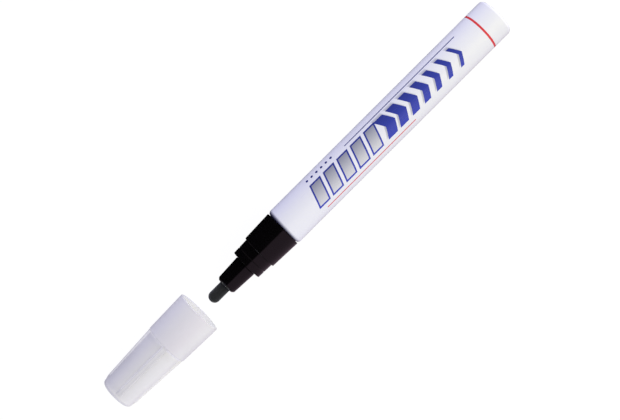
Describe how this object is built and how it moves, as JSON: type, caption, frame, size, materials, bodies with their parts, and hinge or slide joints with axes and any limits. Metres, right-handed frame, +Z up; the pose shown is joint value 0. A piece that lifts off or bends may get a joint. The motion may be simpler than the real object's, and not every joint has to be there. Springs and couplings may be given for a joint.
{
  "type": "paint marker",
  "caption": "Valve-action paint marker lying with its cap pulled off: round white barrel, stepped black front section, bullet nib on a sprung valve, and a stepped translucent cap with ribs.",
  "frame": {"origin": "on the surface that the marker lies on, under the middle of its whole length with the cap off", "axes": "+X along the long axis towards the nib and the cap, +Z up"},
  "size_m": [0.179, 0.0166, 0.0166],
  "materials": {
    "barrel_lacquer": "glossy white lacquer",
    "black_plastic": "moulded gloss",
    "nib_felt": "pressed fibre soaked with dark paint",
    "cap_plastic": "milky translucent moulding",
    "seal_rubber": "matt",
    "valve_plastic": "natural moulding",
    "spring_steel": "drawn wire",
    "ball_steel": "polished"
  },
  "bodies": {
    "marker": {"barrel": "barrel_lacquer", "front_section": "black_plastic", "section_gasket": "seal_rubber", "nib_holder": "black_plastic", "valve_seat": "seal_rubber", "valve_spring": "spring_steel", "valve_housing": "valve_plastic"},
    "nib": {"nib": "nib_felt"},
    "valve_stem": {"valve_stem": "valve_plastic"},
    "mixing_ball": {"mixing_ball": "ball_steel"},
    "cap": {"cap": "cap_plastic"}
  },
  "joints": [
    {"name": "cap_slide", "type": "slide", "parent": "marker", "child": "cap", "axis": [-1, 0, 0], "range_m": [0, 0.0396]},
    {"name": "nib_press", "type": "slide", "parent": "marker", "child": "nib", "axis": [-1, 0, 0], "range_m": [0, 0.002], "stiffness_N_per_m": 400, "springref_m": -0.002},
    {"name": "valve_lift", "type": "slide", "parent": "marker", "child": "valve_stem", "axis": [-1, 0, 0], "range_m": [0, 0.002], "deforming": ["valve_spring"]},
    {"name": "ball_roll", "type": "slide", "parent": "marker", "child": "mixing_ball", "axis": [1, 0, 0], "range_m": [-0.0336, 0.0468]}
  ],
  "couplings": [
    {"joint": "valve_lift", "follows": "nib_press", "ratio": 1}
  ]
}
